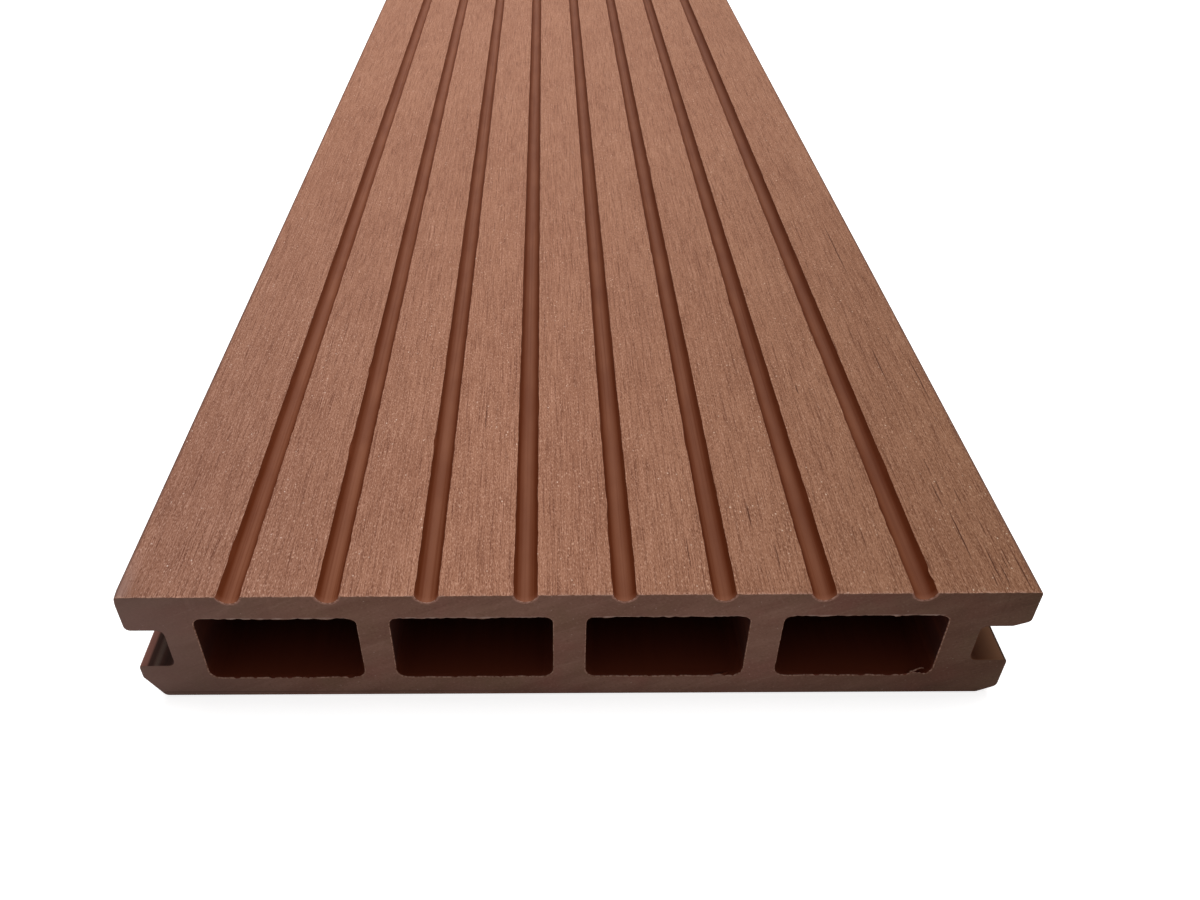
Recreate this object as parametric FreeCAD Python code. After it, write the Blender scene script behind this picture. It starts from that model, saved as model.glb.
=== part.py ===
import FreeCAD, Part
import math
import os

# Hollow grooved decking board, one extruded length lying flat on its underside.
# Millimetres. +Y runs along the length with the sawn end of the photo at -Y,
# +X is to the right seen from that end, +Z is up. The origin is the middle of
# the underside.

# Board
length = 2200.0                 # shortest common stock length of such boards
width = 150.0
thickness = 25.0
top_corner_radius = 0.5         # outer edges of the tread face

# Tread grooves, shallow arcs in the top face
groove_count = 8
groove_width = 3.9
groove_depth = 1.6
edge_land = 16.85               # flat strip between an outer edge and the first groove

# Chambers through the whole length
chamber_count = 4
left_wall = 11.8                # solid strip beside the first chamber, slot included
right_wall = 13.5               # the right one is thicker
web = 5.5                       # upright wall between two chambers
floor_wall = 4.7                # between the chambers and the underside
roof_wall = 5.3                 # between the chambers and the tread, grooves included
chamber_upper_radius = 1.4
chamber_lower_radius = 1.9

# Clip slots along both side faces
upper_lip_height = 8.0          # from the tread face down to the slots
upper_lip_radius = 1.0          # lower outer corner of the left one
right_bevel_width = 2.7         # the right one is bevelled there instead
right_bevel_height = 1.1
right_bevel_radius = 0.9
left_slot_depth = 6.3           # from the side of the upper lip to the back of the slot
left_slot_height = 8.9
right_slot_depth = 7.8
right_slot_height = 8.4
slot_corner_radius = 1.2
lower_lip_radius = 0.7          # upper outer corner of the lower lip

# Lower lips: flush and chamfered on the left, set back and softly bevelled on the right
left_chamfer_width = 2.8
left_chamfer_height = 5.0
left_chamfer_radius = 1.0
right_lip_setback = 1.3
right_foot_width = 3.2
right_foot_height = 1.6
right_foot_radius = 1.2

half_length = length / 2
half_width = width / 2
right_lip_x = half_width - right_lip_setback
slot_ceiling_z = thickness - upper_lip_height
left_slot_back_x = -half_width + left_slot_depth
left_slot_floor_z = slot_ceiling_z - left_slot_height
right_slot_back_x = half_width - right_slot_depth
right_slot_floor_z = slot_ceiling_z - right_slot_height


def rounded_face(corners):
    """Face in the XZ plane through (x, z, radius) corners, each rounded by its radius."""
    points = []
    count = len(corners)
    for index, (x, z, radius) in enumerate(corners):
        corner = FreeCAD.Vector(x, 0, z)
        before = FreeCAD.Vector(corners[index - 1][0], 0, corners[index - 1][1])
        after = FreeCAD.Vector(corners[(index + 1) % count][0], 0, corners[(index + 1) % count][1])
        if radius == 0:
            points.append((corner, None, corner))
            continue
        to_before = (before - corner).normalize()
        to_after = (after - corner).normalize()
        half_angle = to_before.getAngle(to_after) / 2
        reach = radius / math.tan(half_angle)
        centre = corner + (to_before + to_after).normalize() * (radius / math.sin(half_angle))
        middle = centre + (corner - centre).normalize() * radius
        points.append((corner + to_before * reach, middle, corner + to_after * reach))
    edges = []
    for index, (start, middle, end) in enumerate(points):
        if middle is not None:
            edges.append(Part.Arc(start, middle, end).toShape())
        next_start = points[(index + 1) % count][0]
        edges.append(Part.makeLine(end, next_start))
    return Part.Face(Part.Wire(edges))


def extruded(face):
    """The face swept along the whole length of the board."""
    placed = face.translated(FreeCAD.Vector(0, -half_length, 0))
    return placed.extrude(FreeCAD.Vector(0, length, 0))


# Outline of the section, anticlockwise from the left foot as seen from the near end
outline = [
    (-half_width + left_chamfer_width, 0, left_chamfer_radius),
    (right_lip_x - right_foot_width, 0, right_foot_radius),
    (right_lip_x, right_foot_height, right_foot_radius),
    (right_lip_x, right_slot_floor_z, lower_lip_radius),
    (right_slot_back_x, right_slot_floor_z, slot_corner_radius),
    (right_slot_back_x, slot_ceiling_z, slot_corner_radius),
    (half_width - right_bevel_width, slot_ceiling_z, right_bevel_radius),
    (half_width, slot_ceiling_z + right_bevel_height, right_bevel_radius),
    (half_width, thickness, top_corner_radius),
    (-half_width, thickness, top_corner_radius),
    (-half_width, slot_ceiling_z, upper_lip_radius),
    (left_slot_back_x, slot_ceiling_z, slot_corner_radius),
    (left_slot_back_x, left_slot_floor_z, slot_corner_radius),
    (-half_width, left_slot_floor_z, lower_lip_radius),
    (-half_width, left_chamfer_height, left_chamfer_radius),
]
section = rounded_face(outline)

# Chambers, rounded rectangles in one row
chamber_floor_z = floor_wall
chamber_roof_z = thickness - roof_wall
room_for_chambers = width - left_wall - right_wall - web * (chamber_count - 1)
chamber_width = room_for_chambers / chamber_count
for number in range(chamber_count):
    chamber_left = -half_width + left_wall + (chamber_width + web) * number
    chamber_right = chamber_left + chamber_width
    chamber = [
        (chamber_left, chamber_floor_z, chamber_lower_radius),
        (chamber_right, chamber_floor_z, chamber_lower_radius),
        (chamber_right, chamber_roof_z, chamber_upper_radius),
        (chamber_left, chamber_roof_z, chamber_upper_radius),
    ]
    section = section.cut(rounded_face(chamber))

# Grooves, circles that dip below the tread face by the groove depth
groove_radius = (groove_width ** 2 / 4 + groove_depth ** 2) / (2 * groove_depth)
groove_centre_z = thickness - groove_depth + groove_radius
first_groove_x = -half_width + edge_land + groove_width / 2
groove_pitch = -2 * first_groove_x / (groove_count - 1)
for number in range(groove_count):
    groove_x = first_groove_x + groove_pitch * number
    circle = Part.Circle(
        FreeCAD.Vector(groove_x, 0, groove_centre_z),
        FreeCAD.Vector(0, 1, 0),
        groove_radius,
    )
    section = section.cut(Part.Face(Part.Wire(circle.toShape())))

board = extruded(section.Faces[0])

os.makedirs("parts", exist_ok=True)
board.exportStep("parts/decking_board.step")
print("decking_board", board.ShapeType, board.isValid(), "volume cm3", round(board.Volume / 1000, 1))
print("bounds", board.BoundBox)
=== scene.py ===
import bpy
import bmesh
import math
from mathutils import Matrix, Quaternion, Vector, noise


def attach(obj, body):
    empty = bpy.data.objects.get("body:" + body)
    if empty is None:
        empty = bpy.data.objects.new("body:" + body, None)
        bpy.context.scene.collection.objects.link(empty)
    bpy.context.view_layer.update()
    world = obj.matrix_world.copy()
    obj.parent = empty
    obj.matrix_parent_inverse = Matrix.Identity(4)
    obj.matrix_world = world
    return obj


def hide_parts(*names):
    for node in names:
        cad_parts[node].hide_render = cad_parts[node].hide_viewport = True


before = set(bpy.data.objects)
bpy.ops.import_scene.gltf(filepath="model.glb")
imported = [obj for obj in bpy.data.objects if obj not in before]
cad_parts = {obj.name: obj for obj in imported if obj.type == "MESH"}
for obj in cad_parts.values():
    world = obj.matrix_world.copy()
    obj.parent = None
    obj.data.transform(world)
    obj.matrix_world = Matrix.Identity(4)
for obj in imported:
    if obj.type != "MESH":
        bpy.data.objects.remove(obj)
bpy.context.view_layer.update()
mm = 0.001


# Small helpers

def linearColour(hexCode):
    # sRGB hex to the linear colour that a socket holds
    channels = [int(hexCode[i:i + 2], 16) / 255 for i in (1, 3, 5)]
    return [c / 12.92 if c <= 0.04045 else ((c + 0.055) / 1.055) ** 2.4 for c in channels] + [1.0]


def addNode(tree, kind, settings=None, links=None):
    # a setting is a property of the node or the value of an input, and a link is a socket for an input
    node = tree.nodes.new(kind)
    for name, value in (settings or {}).items():
        if isinstance(name, str) and hasattr(node, name):
            setattr(node, name, value)
        else:
            node.inputs[name].default_value = value
    for name, source in (links or {}).items():
        tree.links.new(source, node.inputs[name])
    return node


# The board: one extruded section, drawn as a wire and pushed along its length

board = {  # millimetres; the counts and the seed are whole numbers
    "length": 2200.0,
    "width": 150.0,
    "thickness": 25.0,
    "topCorner": 0.5,
    "grooves": 8,
    "grooveWidth": 3.9,
    "grooveDepth": 1.6,
    "edgeLand": 16.85,
    "chambers": 4,
    "leftWall": 11.8,
    "rightWall": 13.5,
    "web": 5.5,
    "floorWall": 4.7,
    "roofWall": 5.3,
    "chamberUpperRadius": 1.4,
    "chamberLowerRadius": 1.9,
    "upperLipHeight": 8.0,
    "upperLipRadius": 1.0,
    "rightBevelWidth": 2.7,
    "rightBevelHeight": 1.1,
    "rightBevelRadius": 0.9,
    "leftSlotDepth": 6.3,
    "leftSlotHeight": 8.9,
    "rightSlotDepth": 7.8,
    "rightSlotHeight": 8.4,
    "slotCorner": 1.2,
    "lowerLipRadius": 0.7,
    "leftChamferWidth": 2.8,
    "leftChamferHeight": 5.0,
    "leftChamferRadius": 1.0,
    "rightLipSetback": 1.3,
    "rightFootWidth": 3.2,
    "rightFootHeight": 1.6,
    "rightFootRadius": 1.2,
    # wear and saw marks
    "grooveEdgeRagged": 0.09,  # the brush leaves the groove edges a little torn
    "grooveEdgeWorn": 0.05,
    "landShoulder": 0.6,       # how far in from its edges the wear bends a land
    "mouthBurr": 0.3,          # saw burr round the chamber mouths
    "mouthBreak": 0.16,        # the saw breaks the edges of the mouths this wide
    "sawnEdgeBreak": 0.1,      # and the outer edge of each end
    "topBurr": 0.14,           # the tread's sawn edge gives way by this
    "nearRimStep": 0.5,        # points along the sawn rims, so that burrs have something to hang on
    "farRimStep": 2.5,
    "cornerKnock": 0.16,       # the upper left corner of the near end is knocked round
    "cornerReach": 1.1,
    "chips": [  # groove, side, distance from the near end, half length, how far the edge gives way
        (7, 1, 7.2, 1.6, 0.16), (7, 1, 4.6, 1.0, -0.26), (7, 1, 2.9, 0.9, 0.18), (7, 1, 33.0, 3.0, 0.14),
        (1, -1, 39.0, 2.0, 0.22), (1, -1, 66.0, 1.6, 0.2), (2, -1, 41.0, 1.2, 0.24),
        (5, -1, 40.0, 1.8, 0.18), (4, -1, 22.0, 1.4, -0.16), (4, -1, 14.0, 2.4, 0.12),
        (0, -1, 12.0, 1.8, 0.14), (6, 1, 25.0, 2.2, 0.14), (3, 1, 52.0, 2.6, 0.14),
        (6, -1, 92.0, 3.0, 0.18), (2, 1, 128.0, 3.0, 0.16), (5, 1, 170.0, 5.0, 0.18),
    ],
    "mouthLumps": [  # chamber, x, half width, height above the chamber floor
        (2, 24.9, 1.0, 0.62), (3, 58.9, 1.3, 0.6), (0, -41.0, 1.0, 0.2), (1, -8.5, 1.2, 0.18),
    ],
    "curls": [  # burrs that curl off the chamber mouths: points x, z and half thickness
        [(57.9, 5.05, 0.14), (58.6, 5.5, 0.12), (59.2, 5.95, 0.1), (59.7, 6.2, 0.09), (60.1, 6.15, 0.06)],
    ],
    "seed": 7,
    # marks in the tread's finish: x, distance from the near end, half width, half length
    "cracks": [
        (66.0, 13.5, 0.18, 8.6), (69.1, 6.6, 0.14, 5.6), (73.3, 4.4, 0.15, 5.0), (65.2, 24.0, 0.14, 4.8),
        (66.1, 26.0, 0.13, 2.8), (65.9, 66.0, 0.19, 8.0), (72.7, 60.0, 0.16, 11.0), (30.9, 19.0, 0.17, 4.2),
        (34.0, 8.6, 0.11, 4.6), (19.2, 9.5, 0.1, 4.8), (-16.5, 48.0, 0.12, 5.0), (46.8, 57.0, 0.2, 2.2),
        (68.6, 118.0, 0.2, 16.0), (70.2, 4.2, 0.14, 3.4), (71.2, 7.0, 0.12, 2.6), (68.2, 3.0, 0.12, 2.2),
    ],
    "scuffs": [(-74.0, 2.0, 4.5, 5.0)],
}
size = {name: value * mm for name, value in board.items() if isinstance(value, float)}  # in metres

halfWidth = size["width"] / 2
halfLength = size["length"] / 2
top = size["thickness"]
slotCeiling = top - size["upperLipHeight"]
leftSlotFloor = slotCeiling - size["leftSlotHeight"]
rightSlotFloor = slotCeiling - size["rightSlotHeight"]
leftSlotBack = -halfWidth + size["leftSlotDepth"]
rightSlotBack = halfWidth - size["rightSlotDepth"]
rightLip = halfWidth - size["rightLipSetback"]

firstGroove = -halfWidth + size["edgeLand"] + size["grooveWidth"] / 2
groovePitch = -2 * firstGroove / (board["grooves"] - 1)
grooveCentres = [firstGroove + groovePitch * i for i in range(board["grooves"])]
grooveRadius = (size["grooveWidth"] ** 2 / 4 + size["grooveDepth"] ** 2) / (2 * size["grooveDepth"])
grooveSwing = 2 * math.asin(size["grooveWidth"] / 2 / grooveRadius)

webRoom = size["web"] * (board["chambers"] - 1)
chamberWidth = (size["width"] - size["leftWall"] - size["rightWall"] - webRoom) / board["chambers"]
chamberPitch = chamberWidth + size["web"]
chamberLow, chamberHigh = size["floorWall"], top - size["roofWall"]
chamberLefts = [-halfWidth + size["leftWall"] + chamberPitch * i for i in range(board["chambers"])]
mouths = [(left, left + chamberWidth) for left in chamberLefts]

hair = 0.01 * mm  # points nearer than this are in the same place


def at(x, z):
    # a point of the section, drawn on the near end
    return Vector((x, -halfLength, z))


def straightTo(bm, tip, place, steps=1):
    # pushes the pen's last vertex along a straight line
    start = tip.co.copy()
    for step in range(1, steps + 1):
        made = bmesh.ops.extrude_vert_indiv(bm, verts=[tip])
        tip = made["verts"][0]
        tip.co = start.lerp(place, step / steps)
    return tip


def turnAbout(bm, tip, centre, angle, steps):
    # swings the pen's last vertex round a centre, clockwise as seen from the near end
    made = bmesh.ops.spin(bm, geom=[tip], cent=centre, axis=(0, 1, 0), angle=angle, steps=steps)
    return next(item for item in made["geom_last"] if isinstance(item, bmesh.types.BMVert))


def roundCorner(bm, tip, corner, after, radius, arcSteps, lineSteps):
    # draws the line up to a corner and the arc that rounds it off towards the next one
    toBefore = (tip.co - corner).normalized()
    toAfter = (after - corner).normalized()
    halfAngle = toBefore.angle(toAfter) / 2
    reach = radius / math.tan(halfAngle)
    centre = corner + (toBefore + toAfter).normalized() * (radius / math.sin(halfAngle))
    side = -1 if toAfter.cross(toBefore).y < 0 else 1
    tip = straightTo(bm, tip, corner + toBefore * reach, lineSteps)
    return turnAbout(bm, tip, centre, side * (math.pi - 2 * halfAngle), arcSteps)


def drawTread(bm, tip):
    # the lands and the grooves between them, from left to right
    shoulder = size["landShoulder"]
    for number, centreX in enumerate(grooveCentres):
        leftEdge = centreX - size["grooveWidth"] / 2
        landSteps = 4 if number == 0 else 3  # the first land is the widest
        tip = straightTo(bm, tip, at(tip.co.x + shoulder, top))
        tip = straightTo(bm, tip, at(leftEdge - shoulder, top), landSteps)
        tip = straightTo(bm, tip, at(leftEdge, top))
        centre = at(centreX, top - size["grooveDepth"] + grooveRadius)
        tip = turnAbout(bm, tip, centre, -grooveSwing, 8)
    return straightTo(bm, tip, at(tip.co.x + shoulder, top))


def drawOutline(bm):
    start = bm.verts.new(at(0, 0))
    corners = [  # clockwise from the underside's middle: x, z, radius, arc steps, line steps before it
        (-halfWidth + size["leftChamferWidth"], 0, size["leftChamferRadius"], 3, 4),
        (-halfWidth, size["leftChamferHeight"], size["leftChamferRadius"], 3, 2),
        (-halfWidth, leftSlotFloor, size["lowerLipRadius"], 3, 1),
        (leftSlotBack, leftSlotFloor, size["slotCorner"], 4, 2),
        (leftSlotBack, slotCeiling, size["slotCorner"], 4, 2),
        (-halfWidth, slotCeiling, size["upperLipRadius"], 5, 2),
        (-halfWidth, top, size["topCorner"], 3, 2),
        (halfWidth, top, size["topCorner"], 3, 4),
        (halfWidth, slotCeiling + size["rightBevelHeight"], size["rightBevelRadius"], 3, 2),
        (halfWidth - size["rightBevelWidth"], slotCeiling, size["rightBevelRadius"], 2, 1),
        (rightSlotBack, slotCeiling, size["slotCorner"], 4, 2),
        (rightSlotBack, rightSlotFloor, size["slotCorner"], 4, 2),
        (rightLip, rightSlotFloor, size["lowerLipRadius"], 3, 2),
        (rightLip, size["rightFootHeight"], size["rightFootRadius"], 4, 2),
        (rightLip - size["rightFootWidth"], 0, size["rightFootRadius"], 3, 1),
    ]
    tip = start
    for index, (x, z, radius, arcSteps, lineSteps) in enumerate(corners):
        after = corners[index + 1] if index + 1 < len(corners) else (0, 0)
        if (x, z) == (halfWidth, top):  # the tread lies before this corner
            tip = drawTread(bm, tip)
        tip = roundCorner(bm, tip, at(x, z), at(after[0], after[1]), radius, arcSteps, lineSteps)
    straightTo(bm, tip, start.co.copy(), 4)


def drawChamber(bm, left, right):
    low, high = chamberLow, chamberHigh
    upper, lower = size["chamberUpperRadius"], size["chamberLowerRadius"]
    start = bm.verts.new(at((left + right) / 2, high))
    corners = [(right, high, upper, 2), (right, low, lower, 2), (left, low, lower, 3), (left, high, upper, 2)]
    tip = start
    for index, (x, z, radius, lineSteps) in enumerate(corners):
        after = corners[(index + 1) % 4]
        tip = roundCorner(bm, tip, at(x, z), at(after[0], after[1]), radius, 4, lineSteps)
    straightTo(bm, tip, start.co.copy(), 2)


def stations():
    # steps along the length: fine at the sawn ends, where the eye is near, long in between
    runs = [(80, 1.0), (200, 2.0), (400, 5.0), (2000, 40.0), (2120, 5.0), (2200, 2.0)]  # up to where, step
    place, steps = 0.0, []
    for end, step in runs:
        while place < end:
            place += step
            steps.append(step * mm)
    return steps


def makeBoard():
    bm = bmesh.new()
    drawOutline(bm)
    for left, right in mouths:
        drawChamber(bm, left, right)
    bmesh.ops.remove_doubles(bm, verts=bm.verts[:], dist=hair)
    print("section drawn", len(bm.verts), "points")

    ring = bm.edges[:]
    firstRing = ring[:]
    for step in stations():
        made = bmesh.ops.extrude_edge_only(bm, edges=ring)["geom"]
        pushed = [item for item in made if isinstance(item, bmesh.types.BMVert)]
        bmesh.ops.translate(bm, vec=(0, step, 0), verts=pushed)
        ring = [item for item in made if isinstance(item, bmesh.types.BMEdge)]
    print("extruded", len(bm.faces), "faces")

    for rim, step in ((firstRing, size["nearRimStep"]), (ring, size["farRimStep"])):
        byCuts = {}
        for edge in rim:
            cuts = int(edge.calc_length() / step - 0.3)  # the first cut comes at 1.3 steps
            byCuts.setdefault(cuts, []).append(edge)
        for cuts, edges in byCuts.items():
            if cuts > 0:
                bmesh.ops.subdivide_edges(bm, edges=edges, cuts=cuts)
    print("rims cut")
    return bm


def ragged(place, scale, seed):
    # a smooth random line from about -1 to 1, whose waves are as long as the scale, and another for each seed
    return noise.noise(Vector((place / scale, seed * 7.31, seed * 3.17)))


def inMouth(place, margin, spans):
    if not chamberLow - margin < place.z < chamberHigh + margin:
        return False
    return any(left - margin < place.x < right + margin for left, right in spans)


def wearGrooves(bm):
    # torn and slightly worn edges, which wander by a tenth of a millimetre
    edge = size["grooveWidth"] / 2
    chips = {}
    for number, side, start, reach, give in board["chips"]:
        chips.setdefault((number, side), []).append((start * mm - halfLength, reach * mm, give * mm))
    for vert in bm.verts:
        if vert.co.z < top - hair:
            continue
        for number, centreX in enumerate(grooveCentres):
            offset = vert.co.x - centreX
            if abs(abs(offset) - edge) > 0.05 * mm:
                continue
            side = 1 if offset > 0 else -1
            seed = number * 2 + (side > 0) + board["seed"]
            y = vert.co.y
            # short tears on longer waves
            tear = ragged(y, 3.1 * mm, seed) + 0.7 * ragged(y, 1.3 * mm, seed + 40)
            tear += 0.6 * ragged(y, 11 * mm, seed + 80)
            give = 0.0
            for place, reach, depth in chips.get((number, side), []):
                give += depth * math.exp(-((y - place) / reach) ** 2)
            vert.co.x += side * (size["grooveEdgeRagged"] * (tear + 0.2) + give)
            vert.co.z -= size["grooveEdgeWorn"] * max(0.0, 0.4 + tear) + 0.4 * max(0.0, give)
            break


def wearRims(bm):
    # saw burrs on the near and far end: the chamber mouths and the tread edge
    for vert in bm.verts:
        if abs(abs(vert.co.y) - halfLength) > hair:
            continue
        x, z = vert.co.x, vert.co.z
        isNear = vert.co.y < 0
        seed = board["seed"] + (not isNear) * 11
        for number, (left, right) in enumerate(mouths):
            if not inMouth(vert.co, 0.1 * mm, [(left, right)]):
                continue
            isFloor = z < (chamberLow + chamberHigh) / 2
            walk = x + z * 1.7  # grows all along a side of the mouth
            tear = ragged(walk, 0.9 * mm, seed + number) + 0.8 * ragged(walk, 4.0 * mm, seed + number + 20)
            # burrs hang down from the roofs most, and hardly stand out from the walls
            inward = Vector((0, 0, 0.5 if isFloor else -1))
            if min(abs(x - left), abs(x - right)) < 0.3 * mm:
                inward = Vector((0.15 if x < (left + right) / 2 else -0.15, 0, 0))
            vert.co += inward * size["mouthBurr"] * max(-0.2, tear + 0.1)
            for chamber, place, reach, rise in board["mouthLumps"]:
                if isNear and isFloor and chamber == number:
                    vert.co.z += rise * mm * math.exp(-((x / mm - place) / reach) ** 4)
            break
        if z > top - hair:
            torn = max(0.0, 0.4 + ragged(x, 0.8 * mm, seed + 60) + 0.8 * ragged(x, 3.7 * mm, seed + 61))
            vert.co.z -= size["topBurr"] * torn
            vert.co.y += (1 if isNear else -1) * size["topBurr"] * torn * 0.8


def knockCorner(bm):
    # the upper left corner of the near end, rounded off in all three directions
    corner = at(-halfWidth, top)
    reach = size["cornerReach"]
    for vert in bm.verts:
        away = (vert.co - corner).length
        if away < 2 * reach:
            vert.co += Vector((1, 0.6, -0.5)) * size["cornerKnock"] * math.exp(-(away / reach) ** 2)


def closeEnds(bm):
    for end in (-1, 1):
        rim = [e for e in bm.edges if len(e.link_faces) == 1 and e.verts[0].co.y * end > 0]
        bmesh.ops.triangle_fill(bm, use_beauty=True, use_dissolve=False, edges=rim, normal=(0, end, 0))
    bmesh.ops.recalc_face_normals(bm, faces=bm.faces[:])


def breakSawnEdges(bm):
    # the saw leaves a tiny light edge all round each end, wider at the chamber mouths
    atMouth, around = [], []
    for edge in bm.edges:
        sawnSides = sum(abs(face.normal.y) > 0.7 for face in edge.link_faces)
        atEnd = min(abs(v.co.y) for v in edge.verts) > halfLength - 0.6 * mm
        if atEnd and sawnSides == 1 and len(edge.link_faces) == 2:
            rim = atMouth if inMouth(edge.verts[0].co, 0.3 * mm, mouths) else around
            rim.append(edge)
    for edges, width in ((atMouth, size["mouthBreak"]), (around, size["sawnEdgeBreak"])):
        bmesh.ops.bevel(bm, geom=edges, offset=width, offset_type="OFFSET", affect="EDGES",
                        segments=2, profile=0.5, material=-1, clamp_overlap=False)


def keepInside(bm):
    # wear only ever takes away: nothing may stand out of the board's own box
    for vert in bm.verts:
        vert.co.x = max(-halfWidth, min(halfWidth, vert.co.x))
        vert.co.y = max(-halfLength, min(halfLength, vert.co.y))
        vert.co.z = max(0.0, min(top, vert.co.z))
    bmesh.ops.remove_doubles(bm, verts=bm.verts[:], dist=0.001 * mm)  # where a bevel came out with no width


def addCurls(bm):
    # a curl is a small flat ring, pushed from point to point just behind the sawn face; returns the faces
    others = set(bm.faces)
    lean = Quaternion((0, 1, 0), math.radians(50)).to_matrix()
    for curl in board["curls"]:
        ring = None
        for x, z, thick in curl:
            place = Vector((x * mm, -halfLength + 0.25 * mm + 0.3 * thick * mm, z * mm))
            if ring is None:
                made = bmesh.ops.create_circle(bm, cap_ends=True, segments=6, radius=1.0)["verts"]
                bmesh.ops.scale(bm, vec=(thick * mm, 1.4 * thick * mm, 1.0), verts=made)
                bmesh.ops.rotate(bm, cent=(0, 0, 0), matrix=lean, verts=made)
                bmesh.ops.translate(bm, vec=place, verts=made)
                ring = list(dict.fromkeys(e for v in made for e in v.link_edges))
            else:
                geom = bmesh.ops.extrude_edge_only(bm, edges=ring)["geom"]
                ring = [e for e in geom if isinstance(e, bmesh.types.BMEdge)]
                made = [v for v in geom if isinstance(v, bmesh.types.BMVert)]
                bmesh.ops.translate(bm, vec=place - lastPlace, verts=made)
                for vert in made:
                    vert.co = place + (vert.co - place) * (thick / lastThick)
            lastPlace, lastThick = place, thick
        bmesh.ops.contextual_create(bm, geom=ring)
    curlFaces = set(bm.faces) - others
    bmesh.ops.recalc_face_normals(bm, faces=list(curlFaces))
    return curlFaces


# Finishes of the composite, all mixed from wood flour and plastic, with every pattern in millimetres

nearY = -board["length"] / 2  # the sawn end that faces the camera
treadZ = board["thickness"]
sideX = board["width"] / 2


def newMaterial(name, roughness, specular):
    # the material, and a canvas for its finish: its nodes, and the place on the board in millimetres
    material = bpy.data.materials.new(name)
    material.use_nodes = True
    tree = material.node_tree
    shader = tree.nodes["Principled BSDF"]
    shader.inputs["IOR"].default_value = 1.5
    shader.inputs["Roughness"].default_value = roughness
    shader.inputs["Specular IOR Level"].default_value = specular
    metres = addNode(tree, "ShaderNodeTexCoord").outputs["Object"]
    scaled = addNode(tree, "ShaderNodeMapping", {"Scale": (1000, 1000, 1000)}, {"Vector": metres})
    place = scaled.outputs["Vector"]
    axes = addNode(tree, "ShaderNodeSeparateXYZ", {}, {"Vector": place}).outputs
    canvas = {"tree": tree, "shader": shader, "place": place, "x": axes["X"], "y": axes["Y"], "z": axes["Z"]}
    return material, canvas


def grain(canvas, across, along, up, detail=2.0, roughness=0.5):
    # noise with grains of a real size, turned so that no row of them starts on one line
    tree = canvas["tree"]
    scaled = addNode(tree, "ShaderNodeMapping", {
        "Scale": (1 / across, 1 / along, 1 / up),
        "Rotation": (0.5, 0.4, 0.7),
    }, {"Vector": canvas["place"]})
    made = addNode(tree, "ShaderNodeTexNoise", {"Scale": 1.0, "Detail": detail, "Roughness": roughness},
                   {"Vector": scaled.outputs["Vector"]})
    return made.outputs["Fac"]


def specks(canvas, across, along, radius, share):
    # scattered specks, seen from above: a share of cells of a real size hold one, whose radius is in cells
    tree = canvas["tree"]
    scaled = addNode(tree, "ShaderNodeMapping", {"Scale": (1 / across, 1 / along, 1)},
                     {"Vector": canvas["place"]})
    cells = addNode(tree, "ShaderNodeTexVoronoi", {"voronoi_dimensions": "2D", "Scale": 1.0},
                    {"Vector": scaled.outputs["Vector"]})
    lot = addNode(tree, "ShaderNodeSeparateColor", {}, {"Color": cells.outputs["Color"]})
    drawn = addNode(tree, "ShaderNodeMath", {"operation": "GREATER_THAN", 1: 1 - share},
                    {0: lot.outputs["Red"]})
    speck = addNode(tree, "ShaderNodeMapRange", {"From Min": radius, "From Max": radius * 0.5},
                    {"Value": cells.outputs["Distance"], "To Max": drawn.outputs["Value"]})
    return speck.outputs["Result"]


def nearestMark(canvas, marks):
    # how far the nearest of some long, thin marks on the tread is: 0 on its middle and 1 at its rim
    tree = canvas["tree"]
    waves = addNode(tree, "ShaderNodeTexNoise", {"Scale": 0.42, "Detail": 2.0}, {"Vector": canvas["place"]})
    bent = addNode(tree, "ShaderNodeVectorMath", {"operation": "MULTIPLY_ADD", 1: (0.3, 0, 0)},
                   {0: waves.outputs["Color"], 2: canvas["place"]})
    nearest = None
    for x, distance, halfAcross, halfAlong in marks:
        spot = addNode(tree, "ShaderNodeMapping", {
            "vector_type": "TEXTURE",
            "Location": (x + 0.15, nearY + distance, treadZ),  # the waves bend a mark by 0.15 on average
            "Scale": (halfAcross, halfAlong, 1000.0),          # so high that the tread's relief doesn't count
        }, {"Vector": bent.outputs["Vector"]})
        reach = addNode(tree, "ShaderNodeVectorMath", {"operation": "LENGTH"}, {0: spot.outputs["Vector"]})
        if nearest is None:
            nearest = reach.outputs["Value"]
            continue
        closer = addNode(tree, "ShaderNodeMath", {"operation": "MINIMUM"},
                         {0: nearest, 1: reach.outputs["Value"]})
        nearest = closer.outputs["Value"]
    return nearest


def distanceTo(canvas, axis, mark):
    away = addNode(canvas["tree"], "ShaderNodeMath", {"operation": "SUBTRACT", 1: mark}, {0: axis})
    plain = addNode(canvas["tree"], "ShaderNodeMath", {"operation": "ABSOLUTE"}, {0: away.outputs["Value"]})
    return plain.outputs["Value"]


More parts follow.
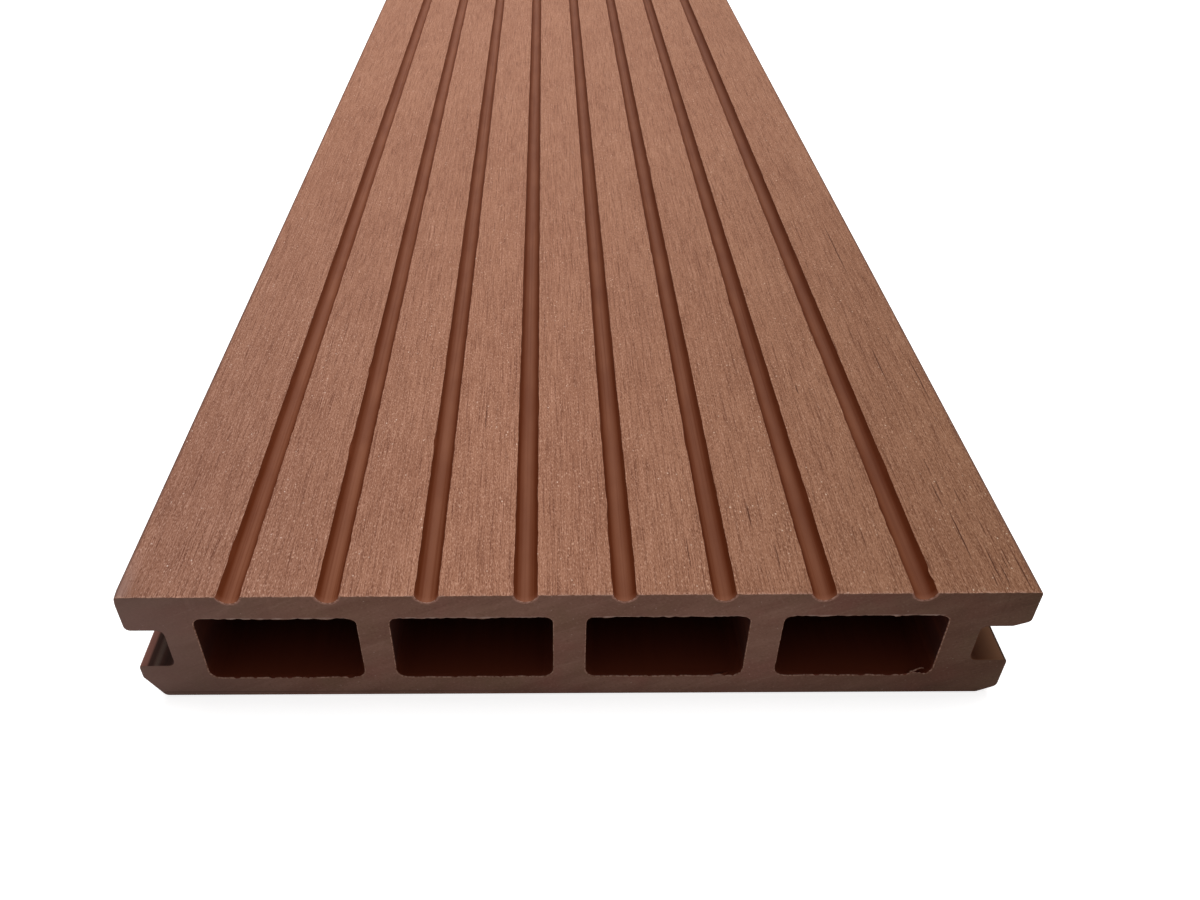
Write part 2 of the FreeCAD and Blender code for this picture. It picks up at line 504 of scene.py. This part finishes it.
def layColours(canvas, colour, layers):
    # Lays colours over a first one. A layer is its colour, the share of it that shows, its ramps, and how it
    # mixes, if not plainly. A ramp is a pattern, its value where nothing of the layer shows and its value
    # where all of it does, and the ramps are multiplied. Where the share is two numbers, the first ramp
    # runs between them.
    tree = canvas["tree"]
    for hexCode, share, ramps, *mixing in layers:
        least, most = share if isinstance(share, tuple) else (0.0, share)
        shown = None
        for pattern, hidden, full in ramps:
            settings, links = {"From Min": hidden, "From Max": full}, {"Value": pattern}
            if shown is None:
                settings.update({"To Min": least, "To Max": most})
            else:
                links["To Max"] = shown
            shown = addNode(tree, "ShaderNodeMapRange", settings, links).outputs["Result"]
        settings, links = {"data_type": "RGBA", 7: linearColour(hexCode)}, {0: shown}
        if mixing:
            settings["blend_type"] = mixing[0]
        if isinstance(colour, str):
            settings[6] = linearColour(colour)
        else:
            links[6] = colour
        colour = addNode(tree, "ShaderNodeMix", settings, links).outputs[2]
    return colour


def dressShader(canvas, colour, height, strength, depth):
    # gives the shader its colour and its relief, whose depth is in real millimetres
    tree, shader = canvas["tree"], canvas["shader"]
    bump = addNode(tree, "ShaderNodeBump", {"Strength": strength, "Distance": depth * mm}, {"Height": height})
    tree.links.new(colour, shader.inputs["Base Color"])
    tree.links.new(bump.outputs["Normal"], shader.inputs["Normal"])


def brushedTread():
    # wood-plastic composite, wire-brushed after extrusion: dull, sandy and fibrous, streaked along the board
    material, canvas = newMaterial("wpcBrushedTread", roughness=0.85, specular=0.14)
    tree, x, y = canvas["tree"], canvas["x"], canvas["y"]
    blotch = grain(canvas, 11.0, 38.0, 11.0, detail=3.0)
    track = grain(canvas, 0.8, 40.0, 5.0)
    streak = grain(canvas, 0.2, 9.0, 5.0, detail=3.0, roughness=0.6)
    sand = grain(canvas, 0.17, 0.6, 2.0, detail=2.0, roughness=0.65)
    cluster = grain(canvas, 6.0, 8.0, 6.0)
    crumbs = specks(canvas, 0.8, 1.5, radius=0.2, share=0.25)
    flecks = specks(canvas, 2.0, 3.1, radius=0.075, share=0.3)
    hairs = specks(canvas, 1.5, 30.0, radius=0.1, share=0.2)
    crack = nearestMark(canvas, board["cracks"])
    scuff = nearestMark(canvas, board["scuffs"])
    offMiddle = distanceTo(canvas, x, 0.0)
    colour = layColours(canvas, "#9E6C54", [
        ("#A6745B", 1.0, [(blotch, 0.35, 0.65)]),
        ("#865742", 0.3, [(track, 0.5, 0.3)]),
        ("#653626", 0.9, [(streak, 0.49, 0.26)]),
        ("#C18E76", 0.8, [(streak, 0.53, 0.75)]),
        ("#6B3D2B", 1.0, [(sand, 0.46, 0.27)]),
        ("#D0A189", 1.0, [(sand, 0.55, 0.76)]),
        # crumbs of pale wood flour, in loose clusters
        ("#CB9D85", 1.0, [(crumbs, 0, 1), (cluster, 0.46, 0.64)]),
        ("#E8C6B2", 1.0, [(flecks, 0, 1), (cluster, 0.46, 0.64)]),
        # dark hairlines where fibres tore out, most of them along the right margin
        ("#5B3122", (0.21, 0.7), [(x, 20, 66), (hairs, 0, 1)]),
        ("#4A2115", 0.8, [(crack, 1.0, 0.45)]),
        ("#6B4A3E", 0.6, [(scuff, 1.0, 0.0), (sand, 0.4, 0.6)]),
        # painted shade: duller and darker towards both outer strips, the right one most, and less so further
        # along
        ("#D3D4C9", (0.38, 0.95), [(y, nearY + 200, nearY), (x, -10, sideX)], "MULTIPLY"),
        ("#EFF2FA", 0.9, [(y, nearY + 200, nearY), (x, -20, -70)], "MULTIPLY"),
        # a pale haze where the near left corner was rubbed
        ("#B59E99", 0.22, [(x, -72.2, -73.8), (y, nearY + 12, nearY + 1)]),
        # torn crumbs along the sawn edge
        ("#D2A48E", 0.35, [(y, nearY + 0.7, nearY + 0.2), (sand, 0.42, 0.56)]),
        # a thin dark line where the tread rolls over into the sides
        ("#5C4037", 0.75, [(offMiddle, sideX - 0.8, sideX - 0.3)]),
    ])
    torn = addNode(tree, "ShaderNodeMapRange", {"From Min": 1.0, "From Max": 0.45}, {"Value": crack})
    fibres = addNode(tree, "ShaderNodeMath", {"operation": "ADD"}, {0: streak, 1: sand})
    height = addNode(tree, "ShaderNodeMath", {"operation": "SUBTRACT"},
                     {0: fibres.outputs["Value"], 1: torn.outputs["Result"]})
    dressShader(canvas, colour, height.outputs["Value"], strength=0.3, depth=0.12)
    return material


def grooveSkin():
    # the same composite as the die left it: smoother, darker and redder than the lands, half glossy
    material, canvas = newMaterial("wpcGrooveSkin", roughness=0.5, specular=0.05)
    x, y, z = canvas["x"], canvas["y"], canvas["z"]
    dieLine = grain(canvas, 0.4, 60.0, 0.4)
    cloud = grain(canvas, 5.0, 14.0, 5.0, detail=3.0)
    colour = layColours(canvas, "#7C4933", [
        ("#87533B", 1.0, [(cloud, 0.35, 0.65)]),
        ("#69331A", 0.5, [(dieLine, 0.5, 0.3)]),
        # painted shade: deepest red brown on the flanks near the sawn end, leaving the bottom paler
        ("#64290D", (0.4, 0.8), [(y, nearY + 200, nearY + 20), (z, treadZ - 1.58, treadZ - 0.9)]),
        # painted shade: the grooves darker and duller towards the right
        ("#E0D9D0", 1.0, [(x, -50, 55)], "MULTIPLY"),
        # the last millimetre paler: partly left pale by the blade, partly a painted highlight at the groove's
        # end
        ("#A46A52", 0.3, [(y, nearY + 1.2, nearY + 0.1)]),
    ])
    dressShader(canvas, colour, dieLine, strength=0.2, depth=0.06)
    return material


def grooveDistance(canvas):
    # distance from the middle of the circle that the nearest groove was drawn with
    tree, first, half = canvas["tree"], firstGroove / mm, groovePitch / mm / 2
    across = addNode(tree, "ShaderNodeMath", {"operation": "WRAP", 1: first + half, 2: first - half},
                     {0: canvas["x"]})
    folded = addNode(tree, "ShaderNodeCombineXYZ", {}, {"X": across.outputs["Value"], "Z": canvas["z"]})
    centre = (first, 0, treadZ - board["grooveDepth"] + grooveRadius / mm)
    away = addNode(tree, "ShaderNodeVectorMath", {"operation": "DISTANCE", 1: centre},
                   {0: folded.outputs["Vector"]})
    return away.outputs["Value"]


def mouthDistance(canvas):
    # distance across the board from the middle of the nearest chamber mouth
    tree, half = canvas["tree"], chamberPitch / mm / 2
    middle = (chamberLefts[0] + chamberWidth / 2) / mm
    across = addNode(tree, "ShaderNodeMath", {"operation": "WRAP", 1: middle + half, 2: middle - half},
                     {0: canvas["x"]})
    return distanceTo(canvas, across.outputs["Value"], middle)


def sawnEnd():
    # sawn across: wood flour smeared by the blade, greyer than the tread, dull, with slanting smears
    material, canvas = newMaterial("wpcSawnEnd", roughness=0.8, specular=0.15)
    tree, x, z = canvas["tree"], canvas["x"], canvas["z"]
    tipped = addNode(tree, "ShaderNodeMapping", {"Rotation": (math.pi / 2, 0, 0)},
                     {"Vector": canvas["place"]})
    upright = dict(canvas, place=tipped.outputs["Vector"])
    leaning = addNode(tree, "ShaderNodeMapping", {"Rotation": (0, math.radians(24), 0)},
                      {"Vector": canvas["place"]})
    slanted = dict(canvas, place=leaning.outputs["Vector"])
    smear = grain(slanted, 16.0, 50.0, 3.5, detail=3.0)
    sweep = grain(slanted, 9.0, 50.0, 0.5, detail=3.0, roughness=0.6)
    patch = grain(canvas, 9.0, 50.0, 9.0)
    flour = grain(canvas, 0.45, 5.0, 0.35)
    tear = grain(canvas, 1.6, 5.0, 1.6)
    flecks = specks(upright, 3.4, 3.4, radius=0.045, share=0.2)
    offMiddle = distanceTo(canvas, x, 0.0)
    offLine = distanceTo(canvas, z, 0.9)
    offRoof = distanceTo(canvas, z, chamberHigh / mm + 0.12)
    offMouth, halfMouth = mouthDistance(canvas), chamberWidth / mm / 2
    offGroove, grooveRim = grooveDistance(canvas), grooveRadius / mm
    colour = layColours(canvas, "#795446", [
        ("#876253", 1.0, [(smear, 0.35, 0.65)]),
        ("#775A46", 0.5, [(patch, 0.54, 0.7)]),
        ("#86564B", 0.5, [(patch, 0.46, 0.32)]),
        ("#9A7868", 0.25, [(sweep, 0.58, 0.74)]),
        ("#64463A", 0.25, [(sweep, 0.42, 0.26)]),
        ("#A07E6F", 0.4, [(flour, 0.58, 0.8)]),
        ("#5E4135", 0.4, [(flour, 0.44, 0.25)]),
        ("#A88A7C", 0.6, [(flecks, 0, 1)]),
        # painted light and shade across the end: greyer and darker to the right, redder and darker to the
        # left
        ("#BDB8AC", 1.0, [(x, 30, sideX)], "MULTIPLY"),
        ("#765C54", 0.7, [(x, -45, -sideX)]),
        # painted shade: a thin dark line just above the lower edge
        ("#513830", 0.5, [(offLine, 0.22, 0.08), (x, 0, -30)]),
        # pale torn flour along the upper edge of the mouths, partly a painted highlight
        ("#A98C81", (0.15, 0.75), [
            (tear, 0.4, 0.6),
            (offRoof, 0.24, 0.1),
            (offMouth, halfMouth - 0.8, halfMouth - 2.2),
            (offMiddle, 62.0, 61.5),
        ]),
        # a pale crescent below the end of each groove: smeared flour, partly a painted highlight
        ("#B98574", (0.3, 0.8), [
            (flour, 0.35, 0.55),
            (offGroove, grooveRim + 0.42, grooveRim + 0.15),
            (offMiddle, 61.0, 60.5),
        ]),
    ])
    dressShader(canvas, colour, flour, strength=0.25, depth=0.1)
    return material


def extrudedSkin():
    # sides and underside as the die left them: even, half dull, with fine die lines
    material, canvas = newMaterial("wpcExtrudedSkin", roughness=0.55, specular=0.3)
    dieLine = grain(canvas, 0.7, 90.0, 0.7, detail=3.0)
    cloud = grain(canvas, 8.0, 25.0, 8.0, detail=3.0)
    colour = layColours(canvas, "#6E4434", [
        ("#7A4E3D", 1.0, [(cloud, 0.35, 0.65)]),
        ("#5C3628", 0.6, [(dieLine, 0.5, 0.3)]),
    ])
    dressShader(canvas, colour, dieLine, strength=0.25, depth=0.08)
    return material


def slotSkinPaintedLightAndShade():
    # inside the clip slots the skin is painted dark and dull as shade; a painted lit strip makes the left
    # one's rim reddish
    material, canvas = newMaterial("wpcSlotSkinPaintedLightAndShade", roughness=0.75, specular=0.1)
    x = canvas["x"]
    dieLine = grain(canvas, 0.6, 90.0, 0.6, detail=3.0)
    offStreak = distanceTo(canvas, x, -71.9)
    colour = layColours(canvas, "#3B2620", [
        ("#4A2F27", 1.0, [(dieLine, 0.35, 0.65)]),
        # a paler streak along the left slot as a painted reflection, and a painted lit strip along its rim
        ("#6B564C", 0.7, [(offStreak, 0.7, 0.2)]),
        ("#8E5F54", 1.0, [(x, -73.3, -73.7)]),
        # painted light in the right slot: warmer and paler outwards, where more light reaches, with a dark
        # line along its rim
        ("#5E3723", 1.0, [(x, -10, 10)]),
        ("#7A543C", 1.0, [(x, 68.5, 72.5)]),
        ("#3A251B", 1.0, [(x, 73.0, 73.3)]),
    ])
    dressShader(canvas, colour, dieLine, strength=0.25, depth=0.08)
    return material


def chamberSkinPaintedShade():
    # inside the chambers the skin is painted a deep red brown as shade, since little light gets in; no dust
    # or brush gets there
    material, canvas = newMaterial("wpcChamberSkinPaintedShade", roughness=0.6, specular=0.2)
    y, z = canvas["y"], canvas["z"]
    floorZ = board["floorWall"]
    dieLine = grain(canvas, 1.1, 120.0, 1.1, detail=3.0)
    colour = layColours(canvas, "#421A0C", [
        ("#34120A", 1.0, [(dieLine, 0.35, 0.65)]),
        # painted shade: black brown deeper in; painted light: paler red brown on the floor at the mouth only
        ("#1C0904", 0.85, [(y, nearY + 5, nearY + 20)]),
        ("#6A2D18", 0.85, [(z, floorZ + 4, floorZ), (y, nearY + 16, nearY + 2)]),
    ])
    dressShader(canvas, colour, dieLine, strength=0.2, depth=0.1)
    return material


def sawBurrAndHighlight():
    # torn, pale fibres along the mouths of the chambers and the tread, where the blade left a burr, paler
    # still as a painted highlight
    material, canvas = newMaterial("wpcSawBurrAndHighlight", roughness=0.9, specular=0.1)
    fibre = grain(canvas, 0.5, 0.5, 0.5)
    colour = layColours(canvas, "#805847", [("#B38A78", 1.0, [(fibre, 0.4, 0.6)])])
    dressShader(canvas, colour, fibre, strength=0.3, depth=0.1)
    return material


finishes = {"skin": extrudedSkin, "slot": slotSkinPaintedLightAndShade, "tread": brushedTread, "groove": grooveSkin,
            "sawn": sawnEnd, "chamber": chamberSkinPaintedShade, "burr": sawBurrAndHighlight}


def inSlot(place):
    low, back = (leftSlotFloor, -leftSlotBack) if place.x < 0 else (rightSlotFloor, rightSlotBack)
    return abs(place.x) > back - 0.1 * mm and low - 0.3 * mm < place.z < slotCeiling + 0.1 * mm


def pickFinish(face, curlFaces):
    # the finish of a face, by where it lies and how far it faces along the board
    middle = face.calc_center_median()
    facing = abs(face.normal.y)
    fromEnd = halfLength - abs(middle.y)
    fromTread = top - middle.z
    inGroove = min(abs(middle.x - x) for x in grooveCentres) < size["grooveWidth"] / 2 + 0.12 * mm
    if face in curlFaces:
        return "burr"
    if inMouth(middle, 0.35 * mm, mouths) and facing < 0.98:
        atRim = all(abs(v.co.y) > halfLength - 0.3 * mm for v in face.verts)
        return "burr" if atRim else "chamber"
    if facing > 0.97 and fromEnd < 1.5 * mm:
        return "sawn"
    if facing > 0.2 and fromEnd < 0.4 * mm and (fromTread < 0.4 * mm or inGroove):
        return "burr"  # the torn lip along the tread and round each groove's end
    if inGroove and fromTread < size["grooveDepth"] + 0.25 * mm:
        return "groove"
    if fromTread < 0.2 * mm:
        return "tread"
    return "slot" if inSlot(middle) else "skin"


bm = makeBoard()
wearGrooves(bm)
wearRims(bm)
knockCorner(bm)
closeEnds(bm)
breakSawnEdges(bm)
keepInside(bm)
print("ends sawn")
curlFaces = addCurls(bm)
finishNames = list(finishes)
for face in bm.faces:
    finish = pickFinish(face, curlFaces)
    face.material_index = finishNames.index(finish)
    face.smooth = finish != "sawn"
bmesh.ops.triangulate(bm, faces=[f for f in bm.faces if len(f.verts) > 4])
mesh = bpy.data.meshes.new("deckingBoard")
bm.to_mesh(mesh)
bm.free()
for makeFinish in finishes.values():
    mesh.materials.append(makeFinish())
mesh.set_sharp_from_angle(angle=math.radians(35))
boardPiece = bpy.data.objects.new("deckingBoard", mesh)
bpy.context.collection.objects.link(boardPiece)
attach(boardPiece, "root")
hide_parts("decking_board")
print("board made", sum(len(p.vertices) - 2 for p in mesh.polygons), "triangles")


# Floor, light and camera

floorLook = {"size": 30.0, "drop": 0.0002, "grey": "#E8E8E8", "lift": 0.75}  # metres


def makeFloor():
    bm = bmesh.new()
    bmesh.ops.create_grid(bm, x_segments=1, y_segments=1, size=floorLook["size"])
    bmesh.ops.translate(bm, vec=(0, 0, -floorLook["drop"]), verts=bm.verts[:])
    mesh = bpy.data.meshes.new("studioFloor")
    bm.to_mesh(mesh)
    bm.free()
    material = bpy.data.materials.new("paleStudioPaper")
    material.use_nodes = True
    tree = material.node_tree
    shader = tree.nodes["Principled BSDF"]
    shader.inputs["Base Color"].default_value = linearColour(floorLook["grey"])
    shader.inputs["Roughness"].default_value = 0.9
    # the paper looks white to the camera and in reflections, and its bounce stays plain
    path = addNode(tree, "ShaderNodeLightPath").outputs
    direct = addNode(tree, "ShaderNodeMath", {"operation": "MAXIMUM"},
                     {0: path["Is Camera Ray"], 1: path["Is Glossy Ray"]})
    seen = addNode(tree, "ShaderNodeMath", {"operation": "MAXIMUM"},
                   {0: direct.outputs["Value"], 1: path["Is Transmission Ray"]})
    lift = addNode(tree, "ShaderNodeMath", {"operation": "MULTIPLY", 1: floorLook["lift"]},
                   {0: seen.outputs["Value"]})
    shader.inputs["Emission Color"].default_value = (1, 1, 1, 1)
    tree.links.new(lift.outputs["Value"], shader.inputs["Emission Strength"])
    mesh.materials.append(material)
    floor = bpy.data.objects.new("studioFloor", mesh)
    bpy.context.collection.objects.link(floor)


lightPlan = {
    "softboxPower": 42.4,
    "softboxSize": (2.0, 2.8),
    "softboxPlace": (0.05, 0.35, 1.35),
    "ambient": 0.32,
}


def makeLights():
    lamp = bpy.data.lights.new("softbox", "AREA")
    lamp.shape = "RECTANGLE"
    lamp.size, lamp.size_y = lightPlan["softboxSize"]
    lamp.energy = lightPlan["softboxPower"]
    softbox = bpy.data.objects.new("softbox", lamp)
    softbox.location = lightPlan["softboxPlace"]
    bpy.context.collection.objects.link(softbox)
    world = bpy.data.worlds.new("studio")
    bpy.context.scene.world = world
    world.use_nodes = True
    tree = world.node_tree
    tree.nodes.clear()
    # the camera sees white, and the board gets a weaker light from all round
    path = addNode(tree, "ShaderNodeLightPath").outputs
    ambient = addNode(tree, "ShaderNodeBackground", {"Color": (1, 1, 1, 1), "Strength": lightPlan["ambient"]})
    white = addNode(tree, "ShaderNodeBackground", {"Color": (1, 1, 1, 1), "Strength": 1.0})
    mixed = addNode(tree, "ShaderNodeMixShader", {},
                    {0: path["Is Camera Ray"], 1: ambient.outputs[0], 2: white.outputs[0]})
    addNode(tree, "ShaderNodeOutputWorld", {}, {"Surface": mixed.outputs[0]})


cameraPlan = {  # fitted to the outline, the grooves and the sawn end in the photograph; angles in degrees
    "place": (-3.99 * mm, -halfLength - 111.15 * mm, 143.31 * mm),
    "yaw": -0.862,
    "pitch": -38.494,
    "roll": -0.97,
    "lens": 29.96,
    "shift": 0.052,
}


def makeCamera():
    yaw, pitch = math.radians(cameraPlan["yaw"]), math.radians(cameraPlan["pitch"])
    forward = Vector((math.sin(yaw) * math.cos(pitch), math.cos(yaw) * math.cos(pitch), math.sin(pitch)))
    roll = Quaternion((0, 0, 1), math.radians(cameraPlan["roll"]))
    data = bpy.data.cameras.new("photoCamera")
    data.sensor_width = 36.0
    data.lens = cameraPlan["lens"]
    data.shift_x = cameraPlan["shift"]
    data.clip_start = 0.01
    camera = bpy.data.objects.new("photoCamera", data)
    camera.location = cameraPlan["place"]
    camera.rotation_mode = "QUATERNION"
    camera.rotation_quaternion = forward.to_track_quat("-Z", "Y") @ roll
    bpy.context.collection.objects.link(camera)
    bpy.context.scene.camera = camera


makeFloor()
makeLights()
makeCamera()
bpy.context.scene.view_settings.view_transform = "Standard"
print("studio ready")
